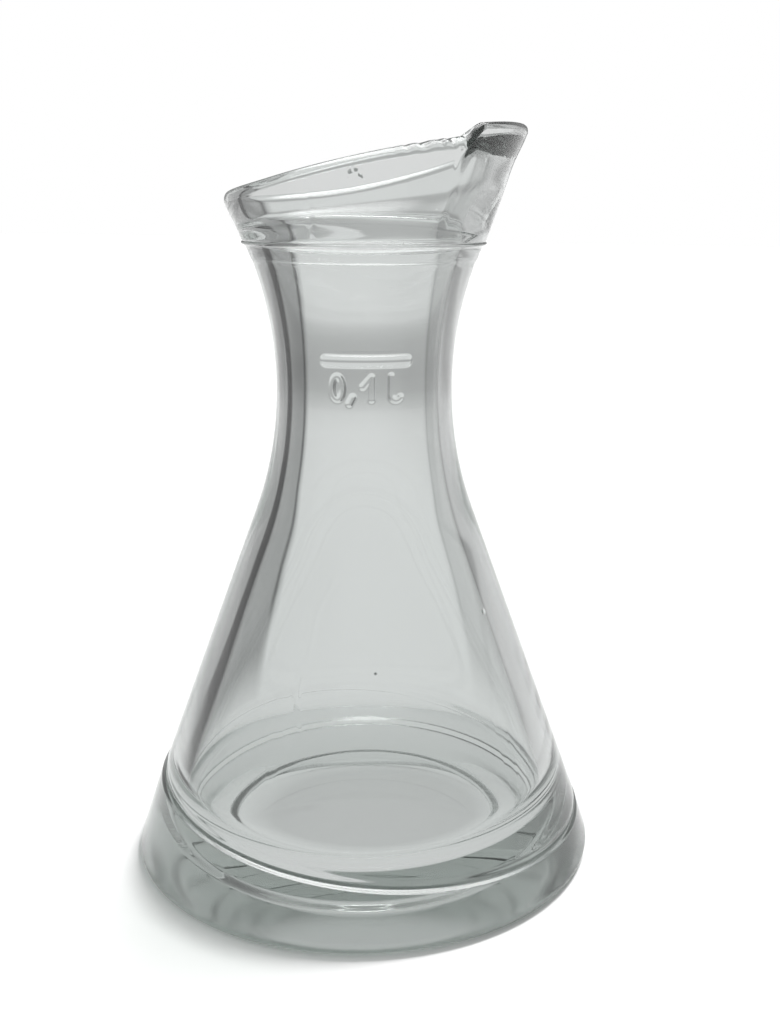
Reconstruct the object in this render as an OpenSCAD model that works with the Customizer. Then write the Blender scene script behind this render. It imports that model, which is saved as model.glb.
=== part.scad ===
// Wine measure carafe, one piece of pressed glass.
// The spout points along +X, and the origin is the centre of the foot, on the table.

/* [Body] */
// Diameter of the foot where its slope meets the table, before the edge is rounded
base_d = 76.6; // [73:0.2:82]
// Rounding of the lower edge of the foot
foot_edge = 1.4; // [0.6:0.1:2]
// Outer diameter at the waist, the narrowest place
waist_d = 28.3; // [26:0.1:34]
// Height of the waist above the table
waist_z = 77.5; // [72:0.5:84]
// Radius of the hollow curve of the outer wall at the waist
waist_curve = 58.5; // [50:0.5:75]

/* [Slanting crease] */
// Height of the crease at the middle of the body
crease_z = 10.6; // [9.6:0.1:14]
// Diameter of the foot at the height of the crease
crease_d = 69.7; // [67:0.1:72]
// How far the foot stands out from the wall above the crease
foot_step = 0.17; // [0.05:0.01:0.4]
// Tilt of the crease, which is lowest under the spout
crease_tilt = 5.8; // [2:0.2:7]
// Depth of the crease below the face of the foot
crease_depth = 0.5; // [0.3:0.05:0.7]
// Height over which the wall rounds down into the crease
crease_h = 1.6; // [1:0.1:3]

/* [Hollow] */
// Thickness of the wall at the waist, measured level
waist_wall = 2.4; // [1.8:0.05:3.2]
// Thickness of the slanting wall at the height of the crease, measured level
body_wall = 4.6; // [2.6:0.05:5.4]
// Radius of the curve of the inner wall at the waist
inner_curve = 80; // [60:1:90]
// Height of the middle of the inside floor above the table
floor_z = 4; // [3:0.1:9]
// Radius of the shallow bowl of the inside floor
floor_curve = 110; // [90:5:150]
// Radius of the rounded corner between the inside floor and the wall
floor_corner = 3; // [2:0.5:6]
// Radius of the hollow under the foot
recess_r = 24.5; // [20:0.5:33]
// Depth of the hollow under the foot
recess_depth = 1.2; // [0.8:0.1:2.4]

/* [Shoulder] */
// Height of the ledge that carries the collar
ledge_z = 100.6; // [98:0.2:104]
// Diameter of the ledge
ledge_d = 38.8; // [38:0.1:41]
// Thickness of the edge of the ledge
ledge_edge = 0.4; // [0.2:0.05:0.7]
// Height of the band under the ledge
band_h = 2.3; // [1.4:0.1:3]
// How far the band stands out from the neck
band_step = 0.18; // [0.1:0.02:0.4]

/* [Collar and rim] */
// Flare of the outside of the collar from the upright
collar_flare = 18.6; // [14:0.2:22]
// Height of the rim above the table, where its tilted plane crosses the axis
rim_z = 111.7; // [109:0.1:116]
// Tilt of the rim, which is highest at the spout
rim_tilt = 11.8; // [6:0.2:14]
// Thickness of the fully rounded rim, measured square to the wall
rim_wall = 2.8; // [2.2:0.1:3.4]

/* [Pouring lip] */
// How far the lip stands up above the rest of the rim
lip_rise = 1.7; // [0.8:0.1:2.4]
// Angle from the middle of the lip to where it starts to drop
lip_half = 25; // [16:1:34]
// Angle over which the lip drops to the rim
lip_ramp = 6; // [4:1:10]
// Thickness of the edge of the lip, measured square to the wall
lip_wall = 1.7; // [1.3:0.1:2.1]
// Height of the channel that thins the inside of the lip
lip_channel = 4.2; // [3:0.1:5]

/* [Fill mark] */
// Height of the raised bar that marks the measure
mark_z = 83.2; // [80:0.1:86]
// Direction of the middle of the bar, turned from the spout
mark_turn = -67; // [-110:1:-50]
// Angle that the bar covers round the neck
mark_sweep = 53; // [36:1:70]
// Radius of the rounded section of the bar
mark_round = 1.35; // [1:0.05:1.8]
// How far the bar stands out from the neck
mark_rise = 0.45; // [0.3:0.05:0.7]

/* [Hidden] */
$fn = 180;
base_r = base_d / 2;
crease_r = crease_d / 2;
waist_r = waist_d / 2;
ledge_r = ledge_d / 2;
wall_low_r = crease_r - foot_step;
inner_low_r = crease_r - body_wall;
inner_waist_r = waist_r - waist_wall;
band_z = ledge_z - ledge_edge - band_h;
// How far a shape that cuts reaches past the face that it cuts
over = 1;
arc_steps = 32;
round_steps = 8;
mark_fn = 48;
// Lower face of the crease, measured down from its tilted plane
crease_drop = 10;
// Steps of the collar: round the axis, and up the inside of its wall
collar_turns = 144;
inside_steps = 8;
// The collar reaches this far down into the ledge, and stands back this far from its edge
seat_depth = 0.6;
seat_gap = 0.12;

// A vessel wall is a straight slope that runs up to a hollow arc and touches it. Its tilt
// follows from its radius at the height of the crease, from the waist and from the arc.
function slope_angle(low_r, neck_r, curve) =
    let (across = neck_r + curve - low_r, up = waist_z - crease_z)
    atan2(up, across) - acos(curve / norm([across, up]));

// Radius of the wall at a height, on the slope or on the arc
function wall_r(z, low_r, neck_r, curve) =
    let (a = slope_angle(low_r, neck_r, curve), touch_z = waist_z - curve * sin(a))
    z < touch_z ? low_r - (z - crease_z) * tan(a)
                : neck_r + curve - sqrt(curve * curve - pow(z - waist_z, 2));

function outer_r(z) = wall_r(z, wall_low_r, waist_r, waist_curve);
function inner_r(z) = wall_r(z, inner_low_r, inner_waist_r, inner_curve);

// Points of the arc from where the slope touches it to a height above the waist
function arc_points(low_r, neck_r, curve, top_z) =
    let (a = slope_angle(low_r, neck_r, curve), top_a = asin((top_z - waist_z) / curve))
    [for (i = [0 : arc_steps])
        let (t = -a + (top_a + a) * i / arc_steps)
        [neck_r + curve * (1 - cos(t)), waist_z + curve * sin(t)]];

// Points of a rounding of radius r about a centre, from one angle to another
function round_points(centre, r, from, to) =
    [for (i = [0 : round_steps])
        let (t = from + (to - from) * i / round_steps)
        centre + r * [cos(t), sin(t)]];

// Everything below the tilted plane of the crease
module below_crease() {
    translate([0, 0, crease_z]) rotate([0, crease_tilt, 0])
        translate([0, 0, -2 * crease_z])
            cylinder(r = base_r + crease_z, h = 2 * crease_z);
}

// Foot: a slope with a rounded lower edge
module foot_section() {
    a = atan((base_r - crease_r) / crease_z);
    edge_x = base_r - foot_edge * (tan(a) + 1 / cos(a));
    polygon(concat(
        [[0, 0]],
        round_points([edge_x, foot_edge], foot_edge, -90, a),
        [[base_r - 2 * crease_z * tan(a), 2 * crease_z], [0, 2 * crease_z]]));
}

// Body: slope, waist and the band that carries the ledge
module body_section() {
    band_r = outer_r(band_z) + band_step;
    polygon(concat(
        [[0, 0], [outer_r(0), 0]],
        arc_points(wall_low_r, waist_r, waist_curve, band_z),
        [[band_r, band_z + band_step],
         [band_r + band_step, ledge_z - 2 * ledge_edge],
         [ledge_r, ledge_z - ledge_edge],
         [ledge_r, ledge_z],
         [0, ledge_z]]));
}

// Hollow: floor like a shallow bowl, rounded corner, slope, waist and the mouth of the neck.
// The corner's round touches the wall, and the bowl's arc from inside.
module hollow_section() {
    a = slope_angle(inner_low_r, inner_waist_r, inner_curve);
    bowl_z = floor_z + floor_curve;
    start_x = inner_r(0) - floor_corner / cos(a);
    b = start_x * tan(a) + bowl_z;
    c = pow(start_x, 2) + pow(bowl_z, 2) - pow(floor_curve - floor_corner, 2);
    corner_z = (b - sqrt(b * b - c / pow(cos(a), 2))) * pow(cos(a), 2);
    corner_x = start_x - corner_z * tan(a);
    touch_a = atan2(corner_z - bowl_z, corner_x);
    corner = round_points([corner_x, corner_z], floor_corner, touch_a, a);
    polygon(concat(
        round_points([0, bowl_z], floor_curve, -90, touch_a),
        [for (i = [1 : round_steps]) corner[i]],
        arc_points(inner_low_r, inner_waist_r, inner_curve, ledge_z),
        [[inner_r(ledge_z), ledge_z + over], [0, ledge_z + over]]));
}

// Hollow under the foot, with a sloping side, so that the carafe stands on a ring
module recess_section() {
    polygon([[0, -over], [recess_r + 2 * over, -over],
             [recess_r - 2 * recess_depth, recess_depth], [0, recess_depth]]);
}

// The crease lies in a tilted plane. That plane cuts the slope of the wall in a ring
// whose middle is shifted towards the low side.
module crease_cut() {
    s = tan(slope_angle(wall_low_r, waist_r, waist_curve));
    k = tan(crease_tilt);
    shift = crease_r * s * k;
    ring_r = crease_r * (1 + pow(s * k, 2));
    bottom_r = ring_r - crease_depth;
    reach = ring_r + crease_depth + over;
    lead = (crease_depth - foot_step) / crease_h - s;
    top_h = crease_h + 2 * over;
    translate([shift, 0, crease_z - k * shift]) rotate([0, crease_tilt, 0])
        rotate_extrude()
            polygon([[bottom_r, 0],
                     [reach, (bottom_r - reach) * tan(crease_drop)],
                     [reach, top_h],
                     [bottom_r + lead * top_h, top_h]]);
}

// Raised bar of the measure mark, a round ridge with round ends that follows the neck
module fill_bar() {
    sink = outer_r(mark_z) + mark_rise - mark_round;
    rotate([0, 0, mark_turn - mark_sweep / 2]) {
        rotate_extrude(angle = mark_sweep)
            translate([sink, mark_z]) circle(mark_round, $fn = mark_fn);
        for (end = [0, mark_sweep])
            rotate([0, 0, end]) translate([sink, 0, mark_z]) sphere(mark_round, $fn = mark_fn);
    }
}

// Collar. Its outside is a cone that a tilted plane cuts off. Each section across its wall
// runs up the inside, over the rounded rim and down the outside.
function smooth(t) = let (c = min(max(t, 0), 1)) c * c * (3 - 2 * c);
// 1 in the lip, 0 on the rest of the rim
function lip_at(turn) =
    let (away = min(turn, 360 - turn)) smooth((lip_half + lip_ramp - away) / lip_ramp);
function collar_r(z) = ledge_r - seat_gap + tan(collar_flare) * (z - ledge_z);
// Height where the tilted plane cuts the cone, with the lip added
function rim_at(turn) =
    let (k = tan(rim_tilt) * cos(turn))
    (rim_z + k * collar_r(0)) / (1 - k * tan(collar_flare)) + lip_rise * lip_at(turn);
function rim_wall_at(turn) = rim_wall + (lip_wall - rim_wall) * lip_at(turn);

// One section at a turn, as radius and height
function collar_section(turn) =
    let (lip = lip_at(turn), edge = rim_wall_at(turn) / 2, top = rim_at(turn),
         low = ledge_z - seat_depth / 3, high = top - edge,
         seat_wall = collar_r(low) - inner_r(ledge_z) - seat_gap,
         full_wall = rim_wall / cos(collar_flare),
         thinning = lip * (rim_wall - lip_wall) / cos(collar_flare))
    concat(
        [[inner_r(ledge_z) + 4 * seat_gap, ledge_z - seat_depth]],
        [for (i = [0 : inside_steps - 1])
            let (z = low + (high - low) * i / inside_steps,
                 wall = seat_wall + (full_wall - seat_wall) * i / inside_steps,
                 channel = thinning * smooth((z - top + lip_channel) / (lip_channel - edge)))
            [collar_r(z) - wall + channel, z]],
        round_points([collar_r(high) - edge / cos(collar_flare), high], edge,
                     180 - collar_flare, -collar_flare),
        [[collar_r(low), low],
         [collar_r(low) - 8 * seat_gap, ledge_z - seat_depth]]);

module collar() {
    rings = [for (i = [0 : collar_turns - 1]) collar_section(i * 360 / collar_turns)];
    n = len(rings[0]);
    points = [for (i = [0 : collar_turns - 1]) for (p = rings[i])
        let (t = i * 360 / collar_turns) [p[0] * cos(t), p[0] * sin(t), p[1]]];
    faces = [for (i = [0 : collar_turns - 1]) for (j = [0 : n - 1])
        let (a = i * n, b = ((i + 1) % collar_turns) * n, j2 = (j + 1) % n)
        each [[a + j, b + j2, a + j2], [a + j, b + j, b + j2]]];
    polyhedron(points, faces, convexity = 6);
}

module carafe() {
    color([0.79, 0.84, 0.82]) union() {
        difference() {
            union() {
                intersection() {
                    rotate_extrude() foot_section();
                    below_crease();
                }
                difference() {
                    union() {
                        rotate_extrude() body_section();
                        fill_bar();
                    }
                    below_crease();
                }
            }
            rotate_extrude() hollow_section();
            rotate_extrude() recess_section();
            crease_cut();
        }
        collar();
    }
}

carafe();
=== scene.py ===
"""Wine measure carafe, one piece of pressed glass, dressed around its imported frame.

The spout points along +X and the origin is the centre of the foot, on the table. Sizes are
in millimetres, as on the real piece, and become metres when a mesh or a material is made.
"""
import math

import bpy
import numpy as np
from mathutils import Matrix, Vector


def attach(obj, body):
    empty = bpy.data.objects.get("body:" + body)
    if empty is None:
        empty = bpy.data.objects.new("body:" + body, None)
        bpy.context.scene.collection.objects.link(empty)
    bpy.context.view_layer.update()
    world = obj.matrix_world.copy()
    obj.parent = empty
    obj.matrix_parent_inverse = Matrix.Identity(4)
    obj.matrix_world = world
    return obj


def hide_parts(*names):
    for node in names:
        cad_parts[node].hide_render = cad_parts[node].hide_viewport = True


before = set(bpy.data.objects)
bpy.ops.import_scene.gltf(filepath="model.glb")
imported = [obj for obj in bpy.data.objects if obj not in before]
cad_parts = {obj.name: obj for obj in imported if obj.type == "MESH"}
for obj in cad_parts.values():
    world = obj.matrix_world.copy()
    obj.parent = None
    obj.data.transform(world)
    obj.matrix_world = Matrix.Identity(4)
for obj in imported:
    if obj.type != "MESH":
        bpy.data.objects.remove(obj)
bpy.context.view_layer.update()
MM = 0.001


# Foot. The thick base of the glass, pressed with the rest. It stands on a ring round a
# shallow hollow, and its upper edge is a fine crease that runs round on a slant.
base_r = 38.3
foot_edge = 1.4
recess_r = 24.5
recess_depth = 0.8
recess_side = 2.4
crease_z = 10.6
crease_r = 34.85
crease_tilt = math.radians(5.8)
crease_from, crease_to = -0.6, 3.2
foot_slope = (base_r - crease_r) / crease_z


def smooth(t):
    """0 below 0, 1 above 1, and three squares less two cubes between them."""
    c = np.clip(t, 0, 1)
    return c * c * (3 - 2 * c)


def column_turns():
    """Turns of the grid's columns: each column is as wide as its stretch of the circle asks,
    fine at the mark and the ends of the lip and coarse elsewhere."""
    stops = np.radians([-180, -97, -19, 19, 38, 88, 92, 180])
    widths = np.radians([2.6, 0.55, 2.2, 0.8, 2.6, 0.57, 2.6])
    parts = [np.linspace(a, b, round((b - a) / w), endpoint=False)
             for a, b, w in zip(stops[:-1], stops[1:], widths)]
    return np.concatenate(parts)


turn = column_turns()


def all_round(column):
    """Rows that have the same value at every turn."""
    return np.repeat(np.asarray(column)[:, None], len(turn), 1)


def crease_height(turn):
    """Height at which the tilted plane of the crease cuts the slope of the foot."""
    k = math.tan(crease_tilt) * np.cos(turn)
    return (crease_z - k * base_r) / (1 - k * foot_slope)


def foot_rows():
    """Radius and height of the rows from the middle of the underside to just below the
    crease: flat hollow, its sloping side, the ring it stands on, the rounded edge, the slope."""
    lean = math.atan(foot_slope)
    edge_x = base_r - foot_edge * (math.tan(lean) + 1 / math.cos(lean))
    side = np.linspace(0, 1, 9)
    round_t = np.linspace(-math.pi / 2, lean, 9)
    flat_r = np.linspace(2.0, recess_r - recess_side - 0.4, 10)
    side_r = recess_r - recess_side * (1 - side)
    ring_r = np.linspace(recess_r + 0.8, edge_x - 0.3, 8)
    edge_r = edge_x + foot_edge * np.cos(round_t)
    side_z = recess_depth * (1 - smooth(1.02 * side))
    edge_z = foot_edge + foot_edge * np.sin(round_t)
    share = np.linspace(0.08, 1, 9)[:, None]
    slope_z = edge_z[-1] + (crease_height(turn) + crease_from - 0.1 - edge_z[-1]) * share
    flat_z = np.full_like(flat_r, recess_depth)
    r = all_round(np.concatenate([flat_r, side_r, ring_r, edge_r]))
    z = all_round(np.concatenate([flat_z, side_z, np.zeros_like(ring_r), edge_z]))
    return np.vstack([r, base_r - foot_slope * slope_z]), np.vstack([z, slope_z])


# Wall. A straight taper that runs up into the hollow curve of the waist and out again to the
# ledge. The inside follows it with its own, wider curve, so the wall thins at the neck. Where
# it meets the foot, the crease is a deep line on the side with the mark and faint behind.
waist_r = 14.15
waist_z = 77.5
waist_curve = 58.5
waist_wall = 2.4
body_wall = 4.6
inner_curve = 80.0
crease_side = math.radians(-71)
crease_least = 0.04
crease_depth = 0.5
crease_above = 1.6
crease_below = 0.45
foot_step = 0.17
step_short, step_long = 0.4, 3.1


def wall_radius(z, low_r, neck_r, curve):
    """Radius of a wall at a height: a straight slope through low_r at the height of the
    crease, up to an arc through the waist that it touches."""
    across, up = neck_r + curve - low_r, waist_z - crease_z
    a = math.atan2(up, across) - math.acos(curve / math.hypot(across, up))
    slope = low_r - (z - crease_z) * math.tan(a)
    arc = neck_r + curve - np.sqrt(np.maximum(curve ** 2 - (z - waist_z) ** 2, 0))
    return np.where(z < waist_z - curve * math.sin(a), slope, arc)


def outer_radius(z):
    """Radius of the outside of the wall at a height."""
    return wall_radius(z, crease_r - foot_step, waist_r, waist_curve)


def inner_radius(z):
    """Radius of the inside of the wall at a height."""
    return wall_radius(z, crease_r - body_wall, waist_r - waist_wall, inner_curve)


def crease_rows():
    """Rows through the crease: the foot, rounded over into the crease, and the wall that comes
    down to it in a small step. The dent is deepest at the plane and fades on both sides of it.
    The step fades out sooner where the dent is deep."""
    lift = np.concatenate([np.linspace(crease_from, -0.1, 7), np.linspace(0, 1.2, 13),
                           np.linspace(1.35, crease_to, 9)])[:, None]
    z = crease_height(turn) + lift
    foot = base_r - foot_slope * z
    seen = crease_least + (1 - crease_least) * smooth(0.5 + 0.8 * np.cos(turn - crease_side))
    fade = 1 - smooth(np.where(lift < 0, -lift / crease_below, lift / crease_above))
    reach = step_short + (step_long - step_short) * (1 - seen)
    wall = outer_radius(z) + foot_step * (1 - smooth(lift / reach))
    face = np.where(lift > 0, np.minimum(foot, wall), foot)
    return face - crease_depth * fade * seen, z


# Fill mark. A raised round bar with round ends and the measure in figures under it, on the
# outside of the neck. It says how full the carafe is when it holds a tenth of a litre.
mark_z = 83.2
mark_turn = math.radians(-67)
mark_half = math.radians(26.5)
mark_end = 0.4
mark_round = 1.35
mark_rise = 0.45
mark_blend = 0.003
mark_reach = 2.2
figure_rise = 0.2
stroke_top, stroke_foot = 0.136, 0.68
mark_low, mark_high = 75.6, 85.4


def stroke(points):
    """Pieces of a stroke, each from one point to the next."""
    return np.stack([points[:-1], points[1:]], 1)


def figure_strokes():
    """Strokes of the figures, in millimetres right of and above the middle of the bar."""
    t = np.radians(np.linspace(0, 360, 25))
    zero = stroke(np.stack([-4.45 + 0.85 * np.cos(t), -4.1 + 1.75 * np.sin(t)], 1))
    comma = stroke(np.array([[-2.1, -5.5], [-2.6, -6.5]]))
    one = stroke(np.array([[-0.55, -3.9], [0.75, -2.4], [0.75, -5.85]]))
    h = np.radians(np.linspace(180, 330, 10))
    hook = np.stack([4.55 + 0.8 * np.cos(h), -5.2 + 0.8 * np.sin(h)], 1)
    litre = stroke(np.vstack([[[3.75, -2.3]], hook]))
    return np.vstack([zero, comma, one, litre])


def distance_to(strokes, s, z):
    """Least distance from each point to any piece of the strokes."""
    best = np.full(s.shape, 99.0)
    for (ax, az), (bx, bz) in strokes:
        dx, dz = bx - ax, bz - az
        t = np.clip(((s - ax) * dx + (z - az) * dz) / (dx * dx + dz * dz), 0, 1)
        best = np.minimum(best, np.hypot(s - ax - t * dx, z - az - t * dz))
    return best


def mark_relief(z):
    """How far the mark stands out: a circle's arc over the bar, which runs out softly into the
    neck, and a soft ridge over the strokes."""
    s = (turn - mark_turn)[None, :] * waist_r
    half = mark_half * waist_r - mark_end
    d = np.hypot(np.maximum(np.abs(s) - half, 0), z - mark_z)
    bar = np.sqrt(np.maximum(mark_round ** 2 - d * d, 0)) - (mark_round - mark_rise)
    bar = 0.5 * (bar + np.sqrt(bar * bar + mark_blend)) * (d < mark_reach)
    gap = distance_to(figure_strokes(), s, z - mark_z)
    return bar + figure_rise * smooth((stroke_foot - gap) / (stroke_foot - stroke_top))


def wall_rows():
    """Rows of the outer wall from above the crease to below the band of the shoulder."""
    start = crease_height(turn) + crease_to
    low = start + (mark_low - start) * np.linspace(0, 1, 42)[1:, None]
    mark = all_round(np.linspace(mark_low, mark_high, 70)[1:])
    high = all_round(np.linspace(mark_high, band_z - 0.5, 18)[1:])
    r = [outer_radius(low), outer_radius(mark) + mark_relief(mark), outer_radius(high)]
    return np.vstack(r), np.vstack([low, mark, high])


# Shoulder. A flat band under a thin ledge, where the body mould meets the mould of the collar.
ledge_z = 100.6
ledge_r = 19.4
ledge_edge = 0.4
band_z = 97.9
band_step = 0.18


def shoulder_rows():
    """Rows over the band and the ledge, each edge a small rounding."""
    low = ledge_z - ledge_edge
    start, neck = float(outer_radius(band_z)), float(outer_radius(low))
    points = [(start - 0.05, band_z - 0.25), (start + 0.3 * band_step, band_z - 0.06),
              (start + band_step, band_z + 0.08), (start + 1.3 * band_step, band_z + 0.3),
              (start + band_step + 0.45, band_z + 1.3), (neck - 0.05, low - 0.5),
              (neck + 0.12, low - 0.2), (ledge_r - 0.3, low - 0.12), (ledge_r - 0.1, low - 0.02),
              (ledge_r, low + 0.12), (ledge_r, ledge_z - 0.1), (ledge_r - 0.08, ledge_z),
              (ledge_r - 0.22, ledge_z + 0.06)]
    r, z = np.array(points).T
    return all_round(r), all_round(z)


# Collar. A cone that flares up from the ledge. A slanting cut ends it in a fully rounded rim,
# highest at the spout, where the rim steps up into a thinner pouring lip with a channel. The
# rim has small chips beside the lip, and the mould left a fine seam up two sides.
collar_flare = math.radians(18.6)
collar_fill = 1.7
seat_gap = 0.12
rim_z = 111.7
rim_tilt = math.radians(11.8)
rim_wall = 2.8
rim_square = 0.7
lip_rise = 1.7
lip_half = 25.0
lip_ramp = 6.0
lip_wall = 1.7
lip_channel = 4.2
lip_spread = 0.55
low_from, low_full = 105.0, 155.0
low_rise = 0.4
low_spread = 0.6
spread_reach = 5.5
mouth_r = 22.0
chip_turns = np.radians([-58, -53.2, -47.4, -45.6, -40.5, -36, -33.2, -29.3])
chip_sizes = np.array([0.1, 0.2, 0.34, 0.12, 0.16, 0.4, 0.14, 0.3])
chip_half = 1.6 * chip_sizes + 0.35
chip_lean = 0.5
chip_way = (0.6, 0.8)
seam_rise = 0.09
seam_half = 0.5
seam_r = 20.0
seam_fade = 1.5


def collar_radius(z):
    """Radius of the outside of the collar at a height, a cone."""
    return ledge_r - seat_gap + math.tan(collar_flare) * (z - ledge_z)


off_spout = np.abs(np.degrees(turn))
lip = smooth((lip_half + lip_ramp - off_spout) / lip_ramp)
low_side = smooth((off_spout - low_from) / (low_full - low_from))
rim_edge = (rim_wall + (lip_wall - rim_wall) * lip) / 2
rim_spread = low_spread * low_side + lip_spread * lip
chip_gap = np.abs(turn[:, None] - chip_turns) * mouth_r
chips = np.sum(chip_sizes * smooth(1 - chip_gap / chip_half), 1)
seams = seam_rise * sum(np.exp(-((turn - side) * seam_r / seam_half) ** 2)
                        for side in (-math.pi / 2, math.pi / 2))


def rim_height():
    """Height where the tilted plane cuts the cone of the collar, with the lip added and a
    little at the low side."""
    k = math.tan(rim_tilt) * np.cos(turn)
    cut = (rim_z + k * collar_radius(0)) / (1 - k * math.tan(collar_flare))
    return cut + lip_rise * lip + low_rise * low_side


rim_top = rim_height()


def bent(v, power):
    """A power of a value that keeps its sign. Below 1 it makes a quarter circle squarer."""
    return np.sign(v) * np.abs(v) ** power


def collar_rows():
    """Rows up the outside of the collar, over the half circle of the rim and down the inside,
    where the wall thickens to the neck and thins again in the channel of the lip. The rim
    spreads a little at its low side and at the lip, and its outer edge is the squarer one."""
    flare = collar_flare
    high = rim_top - rim_edge
    start = ledge_z + 0.2
    outside_z = start + (high - rim_edge * math.sin(flare) - start) * np.linspace(0, 1, 17)[:, None]
    seam = seams * smooth((outside_z - ledge_z) / seam_fade) * smooth((high - outside_z) / seam_fade)
    outside = collar_radius(outside_z) + rim_spread * smooth((outside_z - high) / spread_reach + 1) + seam
    t = np.linspace(-flare, math.pi - flare, 17)[1:, None]
    middle = collar_radius(high) - rim_edge / math.cos(flare) + rim_spread
    bite = chips * np.maximum(np.sin(t + chip_lean), 0) ** 3
    power = np.where(t < math.pi / 2, rim_square, 1.0)
    round_r = middle + rim_edge * bent(np.cos(t), power) - chip_way[0] * bite
    round_z = high + rim_edge * bent(np.sin(t), power) - chip_way[1] * bite
    share = 1 - 2 * smooth(np.linspace(0, 0.5, 22)[1:, None])
    inside_z = ledge_z + (high + rim_edge * math.sin(flare) - ledge_z) * share
    seat_wall = collar_radius(ledge_z) - float(inner_radius(ledge_z))
    wall = seat_wall + (rim_wall / math.cos(flare) - seat_wall) * smooth(collar_fill * share)
    thin = lip * (rim_wall - lip_wall) / math.cos(flare)
    channel = thin * smooth((inside_z - rim_top + lip_channel) / (lip_channel - rim_edge))
    inner_spread = rim_spread * smooth((inside_z - high) / spread_reach + 1)
    inside = collar_radius(inside_z) - wall + channel + inner_spread
    return np.vstack([outside, round_r, inside]), np.vstack([outside_z, round_z, inside_z])


# Hollow. The plunger of the press leaves it smooth, with a round corner and a floor like a
# shallow bowl, so the glass is thin in the middle of the foot and thick round its edge.
floor_z = 4.0
floor_curve = 110.0
floor_corner = 6.0


def hollow_rows():
    """Rows down the inside, round the corner and in over the floor. The circle of the corner
    touches the slope of the wall, and the wide circle of the floor from inside."""
    start = float(inner_radius(0.0))
    a = math.atan(start - float(inner_radius(1.0)))
    start = start - floor_corner / math.cos(a)
    bowl_z = floor_z + floor_curve
    b = start * math.tan(a) + bowl_z
    c = start ** 2 + bowl_z ** 2 - (floor_curve - floor_corner) ** 2
    corner_z = (b - math.sqrt(b * b - c / math.cos(a) ** 2)) * math.cos(a) ** 2
    corner_r = start - corner_z * math.tan(a)
    touch = math.atan2(corner_z - bowl_z, corner_r)
    z = np.linspace(ledge_z, corner_z + floor_corner * math.sin(a), 58)[1:]
    t = np.linspace(a, touch, 12)[1:]
    s = touch - (touch + math.pi / 2) * np.linspace(0, 0.95, 20)[1:]
    r = [inner_radius(z), corner_r + floor_corner * np.cos(t), floor_curve * np.cos(s)]
    z = [z, corner_z + floor_corner * np.sin(t), bowl_z + floor_curve * np.sin(s)]
    return all_round(np.concatenate(r)), all_round(np.concatenate(z))


def pressed_mesh(name):
    """One closed skin: a grid of rows round the axis, from the middle of the underside over the
    rim to the middle of the inside floor, and a fan of triangles at each of the two poles."""
    parts = [foot_rows(), crease_rows(), wall_rows(), shoulder_rows(), collar_rows(), hollow_rows()]
    r, z = (np.vstack([p[i] for p in parts]) for i in (0, 1))
    rows, cols = r.shape
    points = np.stack([r * np.cos(turn), r * np.sin(turn), z], 2).reshape(-1, 3)
    points = np.vstack([points, [[0, 0, recess_depth], [0, 0, floor_z]]]) * MM
    j = np.arange(cols)
    after = (j + 1) % cols
    i = np.arange(rows - 1)[:, None] * cols
    quads = np.stack([i + j, i + after, i + cols + after, i + cols + j], 2).reshape(-1, 4)
    top = (rows - 1) * cols
    fans = [np.stack([np.full(cols, rows * cols), after, j], 1),
            np.stack([np.full(cols, rows * cols + 1), top + j, top + after], 1)]
    mesh = bpy.data.meshes.new(name)
    mesh.from_pydata(points.tolist(), [], quads.tolist() + np.vstack(fans).tolist())
    mesh.polygons.foreach_set("use_smooth", np.ones(len(mesh.polygons), bool))
    mesh.update()
    piece = bpy.data.objects.new(name, mesh)
    bpy.context.scene.collection.objects.link(piece)
    return piece


# Glass. Clear, with a faint grey-green in its thickness, and worn by use: the ring it stands on
# is dull, and fine scratches and a few specks have caught dirt. A painted shade darkens the crease
# and the edge of the hollow. The front is the side that faces the photo, 19 degrees round from
# the -Y side.
photo_turn = math.radians(19)
ring_roughness = 0.12
# darkness of the marks; the crease's mark and part of the hollow edge's mark are painted shade
edge_scratch_and_shade_dark, speck_dark, scuff_dark, crease_shade_dark = 0.7, 0.9, 0.7, 0.6
wave_rise, cord_rise, bubble_rise = 0.02, 0.05, 0.25
wave_scale, scuff_scale = 90.0, 900.0
glass_colour = (0.95, 0.965, 0.96, 1)
depth_colour = (0.848, 0.865, 0.857, 1)
depth_density = 92.0
dirt_and_shade_colour = (0.1, 0.12, 0.11, 1)
thin_shadow = (0.97, 0.975, 0.97, 1)
thick_shadow = (0.3, 0.32, 0.31, 1)
speck_places = [((-2.4, -26.9, 33), 0.35), ((10.7, -22.5, 38), 0.35), ((27.2, -11.5, 26), 0.4)]
scuff_place = (7.4, -21.6, 110.2)
bubble_place = (21.8, -5.1, 43.4)


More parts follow.
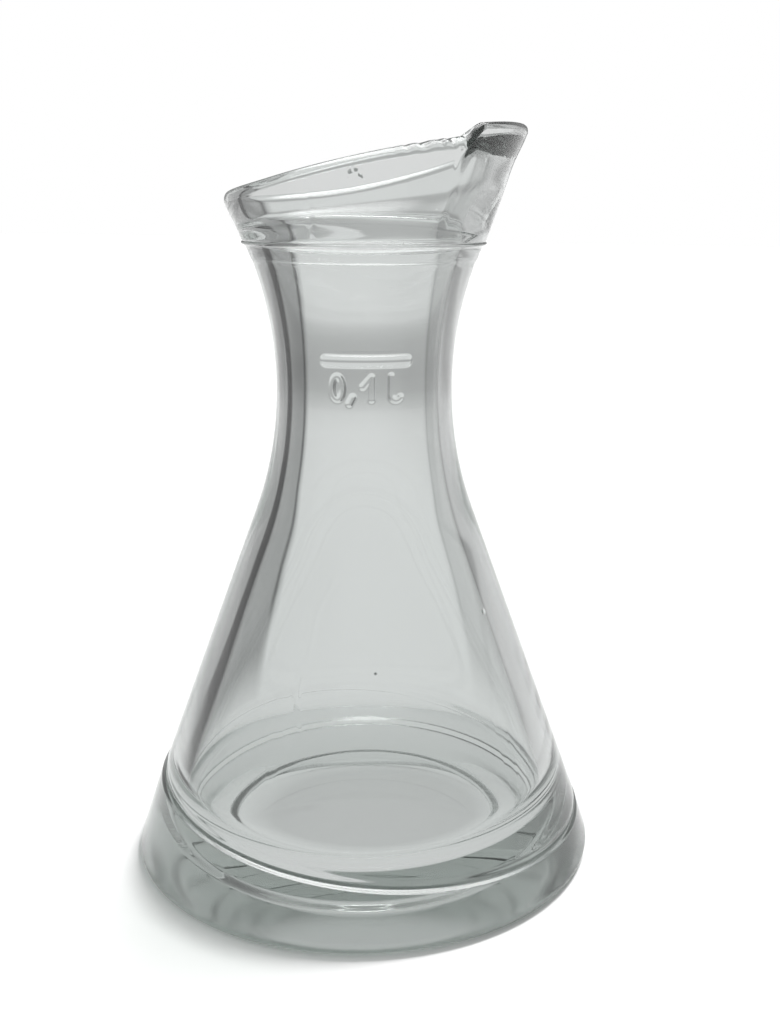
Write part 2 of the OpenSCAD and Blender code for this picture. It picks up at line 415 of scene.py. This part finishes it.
class Wire:
    """A value in a node tree. Sums, differences and products of wires and numbers add their
    Math nodes."""

    def __init__(self, tree, socket):
        self.tree, self.socket = tree, socket

    @classmethod
    def node(cls, tree, kind, settings=None, **values):
        """Adds a node and gives its first output. Its settings come first, a ramp's stops among
        them as pairs of place and grey. Then each socket gets its value or its wire: i0, i1 and
        so on are sockets by their place, and the others go by name."""
        made = tree.nodes.new(kind)
        for key, value in (settings or {}).items():
            if key == "stops":
                cls.set_ramp(made.color_ramp.elements, value)
            else:
                setattr(made, key, value)
        for key, value in values.items():
            by_place = key[0] == "i" and key[1:].isdigit()
            socket = made.inputs[int(key[1:]) if by_place else key.replace("_", " ")]
            if isinstance(value, Wire):
                tree.links.new(value.socket, socket)
            else:
                socket.default_value = value
        return cls(tree, made.outputs[0]) if made.outputs else None

    @staticmethod
    def set_ramp(ramp, stops):
        """Gives a ramp its stops, with new ones in the middle until there are enough."""
        while len(ramp) < len(stops):
            ramp.new(0.5)
        for stop, (place, grey) in zip(ramp, stops):
            stop.position = place
            stop.color = (grey, grey, grey, 1)

    def output(self, name):
        """Another output of the same node."""
        return Wire(self.tree, self.socket.node.outputs[name])

    def maths(self, operation, other=0.0):
        """A Math node on this value and, where the operation takes two, another."""
        return Wire.node(self.tree, "ShaderNodeMath", {"operation": operation}, i0=self, i1=other)

    def __add__(self, other):
        return self.maths("ADD", other)

    def __mul__(self, other):
        return self.maths("MULTIPLY", other)

    def __sub__(self, other):
        return self.maths("SUBTRACT", other)

    def __rsub__(self, other):
        return Wire.node(self.tree, "ShaderNodeMath", {"operation": "SUBTRACT"}, i0=other, i1=self)

    __radd__ = __add__
    __rmul__ = __mul__


def step(value, low, high, start=0.0, end=1.0):
    """The start where a value is below low, the end where it is above high, smooth between."""
    return Wire.node(value.tree, "ShaderNodeMapRange", {"interpolation_type": "SMOOTHSTEP"},
                     Value=value, i1=low, i2=high, i3=start, i4=end)


def vector_number(operation, first, second):
    """A number that two vectors give, such as their distance."""
    both = Wire.node(first.tree, "ShaderNodeVectorMath", {"operation": operation}, i0=first, i1=second)
    return both.output("Value")


def blend(share, first, second):
    """A mix of two shaders: the first where the share is 0, the second where it is 1."""
    return Wire.node(share.tree, "ShaderNodeMixShader", i0=share, i1=first, i2=second)


def glass_material():
    """Clear pressed glass. Dark marks of use, and a painted shade in the crease and at the edge of
    the hollow, are mixed over it. Its surface is slightly wavy, with one cord of glass down the front
    and a small bubble. Lamps shine through it, less through the thick foot, so the carafe has a light
    shadow."""
    material = bpy.data.materials.new("clear_glass")
    material.use_nodes = True
    tree = material.node_tree
    tree.nodes.clear()
    place = Wire.node(tree, "ShaderNodeTexCoord").output("Object")
    apart = Wire.node(tree, "ShaderNodeSeparateXYZ", Vector=place)
    across, along, up = (apart.output(name) for name in "XYZ")
    from_axis = (across * across + along * along).maths("SQRT")
    right = across * math.cos(photo_turn) + along * math.sin(photo_turn)
    front = across * math.sin(photo_turn) - along * math.cos(photo_turn)

    def noise(vector, scale, detail):
        return Wire.node(tree, "ShaderNodeTexNoise", Vector=vector, Scale=scale, Detail=detail)

    def past(length, low, high):
        """0 below one length in millimetres, 1 above the other, smooth between."""
        return step(length, low * MM, high * MM)

    def spot(centre, near, far):
        """1 within a distance in millimetres of a place on the glass, 0 past the far one."""
        return 1 - past(vector_number("DISTANCE", place, tuple(v * MM for v in centre)), near, far)

    # the ring it stands on is dull, and the edge of its hollow has fine scratches and a painted shade, a
    # dark line mostly on the back half
    standing = past(from_axis, recess_r - 0.3, recess_r + 0.5) * (1 - past(up, 0.3, 0.9))
    around = along.maths("ARCTAN2", across)
    lines = Wire.node(tree, "ShaderNodeCombineXYZ", i0=around * 60 + from_axis * 1600, i1=from_axis * 250)
    scratch = noise(lines, 1.0, 2.0)
    edge = past(from_axis, recess_r - 1.8, recess_r - 1.4) * (1 - past(from_axis, recess_r - 0.6, recess_r))
    edge = edge * (1 - past(up, 1.0, 2.0)) * (1 - 0.9 * past(front, -2, 10))
    scratches_and_shade = edge * (0.5 + 0.6 * step(scratch, 0.4, 0.6))
    # painted shade: the groove of the crease is darkened with the dark colour, mostly on the front
    over_crease = up + math.tan(crease_tilt) * across - crease_z * MM
    crease = past(over_crease, -0.1, 0.1) * (1 - past(over_crease, 0.2, 0.5))
    crease = crease * past(from_axis, 32.5, 33) * past(front, -12, 4)
    specks = sum(spot(centre, 0.15, size) for centre, size in speck_places)
    scuff = spot(scuff_place, 1.0, 1.8) * step(noise(place, scuff_scale, 1.0), 0.6, 0.66)
    # marks of dirt and wear, with painted shade in the crease and at the hollow's edge
    dark = scratches_and_shade * edge_scratch_and_shade_dark + speck_dark * specks + scuff_dark * scuff + crease_shade_dark * crease
    # the cord bends to the left below and wavers a little
    bend = (up * 520).maths("SINE")
    cord_gap = right + 3.4 * MM + 5.0 * MM * (1 - past(up, 34, 53)) - 0.5 * MM * bend
    cord = (1 - past(cord_gap.maths("ABSOLUTE"), 0.05, 0.6)) * past(front, 0, 4)
    cord = cord * past(up, 29.5, 32) * (1 - past(up, 52, 58))
    relief = wave_rise * noise(place, wave_scale, 1.0) + cord_rise * cord
    relief = relief + bubble_rise * spot(bubble_place, 0.1, 0.7)
    bump = Wire.node(tree, "ShaderNodeBump", Height=relief, Strength=1.0, Distance=MM)
    glass = Wire.node(tree, "ShaderNodeBsdfPrincipled", Base_Color=glass_colour, IOR=1.5,
                      Roughness=standing * ring_roughness, Transmission_Weight=1.0, Normal=bump)
    dirt_and_shade = Wire.node(tree, "ShaderNodeBsdfDiffuse", Color=dirt_and_shade_colour)
    thin = Wire.node(tree, "ShaderNodeBsdfTransparent", Color=thin_shadow)
    thick = Wire.node(tree, "ShaderNodeBsdfTransparent", Color=thick_shadow)
    to_lamp = Wire.node(tree, "ShaderNodeLightPath").output("Is Shadow Ray")
    surface = blend(to_lamp, blend(dark, glass, dirt_and_shade), blend(past(up, 10, 16), thick, thin))
    inside = Wire.node(tree, "ShaderNodeVolumeAbsorption", Color=depth_colour, Density=depth_density)
    Wire.node(tree, "ShaderNodeOutputMaterial", Surface=surface, Volume=inside)
    return material


carafe = pressed_mesh("carafe_glass")
carafe.data.materials.append(glass_material())
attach(carafe, "root")
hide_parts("carafe")


# Table and light. A plain pale table in a plain pale room. The room has a grey wall behind the
# carafe on the left and is darker on that side, which the glass gathers in its edges. The
# greys stand at turns in degrees from the straight way past the carafe, left below zero. The
# wall ends in a dark gap on each side. On the table close by there are no gaps.
ahead = (-math.sin(photo_turn), math.cos(photo_turn), 0)
to_right = (math.cos(photo_turn), math.sin(photo_turn), 0)
room_greys = [(-180, 0.75), (-125, 0.5), (-110, 0.12), (-62, 0.12), (-60, 0.02), (-48, 0.02),
              (-46, 0.33), (-18.2, 0.33), (-17, 0.04), (-16, 0.04), (-15.2, 0.8), (11, 0.8),
              (12.5, 0.45), (14, 0.58), (48, 0.58), (51, 0.4), (56, 0.4), (60, 0.7), (180, 0.75)]
near_greys = [(-180, 0.75), (-110, 0.12), (-60, 0.06), (-54, 0.06), (-50, 0.22), (-17.5, 0.3),
              (-15.5, 0.8), (11, 0.8), (13, 0.6), (60, 0.6), (180, 0.75)]
mirrored_greys = [(-180, 1.0), (-36, 1.0), (-20, 0.4), (20, 0.4), (36, 1.0), (180, 1.0)]
# Greys of the table at distances behind the carafe, in metres, and of the shade under its foot
# at distances from near the foot's middle
table_reach = 2.0
table_greys = [(0, 0.98), (0.16, 0.97), (0.31, 0.94), (0.37, 0.86), (0.42, 0.71), (0.49, 0.54),
               (0.6, 0.5), (0.8, 0.52), (1.1, 0.56), (1.5, 0.68), (2.0, 0.86)]
contact_reach = 50.0
contact_greys = [(0, 0.66), (18, 0.68), (24, 0.94), (35, 0.97), (47.5, 1.0)]
contact_middle = (0.8 * MM, 2.5 * MM, 0)
table_grey = 0.8
table_colour = (0.82, 0.82, 0.82, 1)
table_drop = 0.1
foot_gap = 16.0
plain_to, room_from = 55.0, 110.0
near_to, far_from = 100.0, 160.0


def grey_ramp(share, stops):
    """Grey that runs through pairs of place and grey, the places between 0 and 1."""
    return Wire.node(share.tree, "ShaderNodeValToRGB", {"stops": stops}, i0=share)


def side_grey(way, gap, greys):
    """Grey of the room on each side of the straight way past the carafe. On the table the two
    sides start at a gap from the middle, beside the foot."""
    sideways = vector_number("DOT_PRODUCT", way, to_right)
    outside = sideways.maths("SIGN") * (sideways.maths("ABSOLUTE") - gap).maths("MAXIMUM", 0.0)
    side = outside.maths("ARCTAN2", vector_number("DOT_PRODUCT", way, ahead))
    stops = [((degrees + 180) / 360, grey) for degrees, grey in greys]
    return grey_ramp(side * (0.5 / math.pi) + 0.5, stops)


def table_top():
    """A flat square that is far wider than the view, of pale matt paint. Seen through the glass
    it glows with painted greys instead: those of the room, darker far behind, and a painted shade under the
    foot."""
    half = 3.0
    corners = [(-half, -half, 0), (half, -half, 0), (half, half, 0), (-half, half, 0)]
    mesh = bpy.data.meshes.new("table")
    mesh.from_pydata(corners, [], [(0, 1, 2, 3)])
    table = bpy.data.objects.new("table", mesh)
    bpy.context.scene.collection.objects.link(table)
    material = bpy.data.materials.new("table_white")
    material.use_nodes = True
    tree = material.node_tree
    tree.nodes.clear()
    way = Wire.node(tree, "ShaderNodeTexCoord").output("Object")
    off = vector_number("DISTANCE", way, (0, 0, 0))
    near = side_grey(way, foot_gap * MM, near_greys)
    far = side_grey(way, foot_gap * MM, room_greys)
    sides = near + step(off, near_to * MM, far_from * MM) * (far - near)
    plain = table_grey + step(off, plain_to * MM, room_from * MM) * (sides - table_grey)
    behind = vector_number("DOT_PRODUCT", way, ahead)
    shade = grey_ramp(behind * (1 / table_reach), [(at / table_reach, grey) for at, grey in table_greys])
    under = vector_number("DISTANCE", way, contact_middle)
    contact = grey_ramp(under * (1 / (contact_reach * MM)),
                        [(at / contact_reach, grey) for at, grey in contact_greys])
    paint = Wire.node(tree, "ShaderNodeBsdfDiffuse", Color=table_colour)
    # painted light: for rays that came through the glass the table glows with these greys, with a painted
    # shade under the foot
    painted_glow = Wire.node(tree, "ShaderNodeEmission", Color=plain * shade * contact, Strength=1.0)
    through = Wire.node(tree, "ShaderNodeLightPath").output("Is Transmission Ray")
    Wire.node(tree, "ShaderNodeOutputMaterial", Surface=blend(through, paint, painted_glow))
    table.data.materials.append(material)
    return table


table = table_top()
table.location.z = -table_drop * MM


high_left, high_right = 0.12, 0.8
lamp_white = 7.0
glass_dim = 0.9
matt_dim = 0.5


def room():
    """The world: white to the camera. Through the glass stand the greys of the room, which
    higher up pass softly from dark on the left to pale on the right. The outside of the glass
    mirrors a white room that is grey straight ahead, with a bright patch overhead. Matt things
    get half of its light."""
    world = bpy.data.worlds.new("pale_room")
    bpy.context.scene.world = world
    world.use_nodes = True
    tree = world.node_tree
    tree.nodes.clear()
    way = Wire.node(tree, "ShaderNodeTexCoord").output("Generated")
    up = Wire.node(tree, "ShaderNodeSeparateXYZ", Vector=way).output("Z")
    path = Wire.node(tree, "ShaderNodeLightPath")
    through = path.output("Is Transmission Ray")
    outside = path.output("Is Glossy Ray") * (1 - through)
    low = side_grey(way, 0.0, room_greys)
    high = step(vector_number("DOT_PRODUCT", way, to_right), -0.75, -0.15, high_left, high_right)
    grey = low + step(up, 0.12, 0.4) * (high - low)
    mirrored = side_grey(way, 0.0, mirrored_greys) + step(up, 0.62, 0.85, 0.0, lamp_white)
    level = 1.0 + through * (grey * glass_dim - 1.0) + outside * (mirrored - 1.0)
    level = level - path.output("Is Diffuse Ray") * matt_dim
    back = Wire.node(tree, "ShaderNodeBackground", Color=level, Strength=1.0)
    Wire.node(tree, "ShaderNodeOutputWorld", Surface=back)


room()


def soft_sun(place, strength, softness):
    """Soft even light from the side of a place, too wide for a hard shadow."""
    data = bpy.data.lights.new("soft_light", "SUN")
    data.energy = strength
    data.angle = softness
    lamp = bpy.data.objects.new("soft_light", data)
    lamp.location = place
    lamp.rotation_euler = lamp.location.to_track_quat("Z", "Y").to_euler()
    lamp.visible_glossy = lamp.visible_transmission = False
    bpy.context.scene.collection.objects.link(lamp)


soft_sun(place=(0.1, 0.3, 0.6), strength=3.4, softness=math.radians(16))

# Camera. It looks down a little at the side of the neck that carries the mark, from where the
# photo was taken. The frame is taller than wide, so the long side is the height.
image_w, image_h = 780, 1024
focal_px = 1253.0
centre_px = (425.0, 430.0)
sensor = 36.0
camera_place = Vector((74.68, -186.66, 106.98))
look_down = math.radians(10.37)
roll = math.radians(0.43)
camera_data = bpy.data.cameras.new("camera")
camera_data.sensor_width = sensor
camera_data.lens = focal_px / image_h * sensor
camera_data.shift_x = (image_w / 2 - centre_px[0]) / image_h
camera_data.shift_y = (centre_px[1] - image_h / 2) / image_h
camera_data.clip_start = 0.01
camera = bpy.data.objects.new("camera", camera_data)
bpy.context.scene.collection.objects.link(camera)
turned = (Matrix.Rotation(photo_turn, 4, "Z") @ Matrix.Rotation(math.pi / 2 - look_down, 4, "X")
          @ Matrix.Rotation(roll, 4, "Z"))
camera.matrix_world = Matrix.Translation(camera_place * MM) @ turned
bpy.context.scene.camera = camera
bpy.context.scene.view_settings.view_transform = "Standard"
# Light turns many times inside the thick foot before it leaves it
cycles = bpy.context.scene.cycles
cycles.max_bounces = cycles.transmission_bounces = cycles.transparent_max_bounces = 32
cycles.glossy_bounces = 24
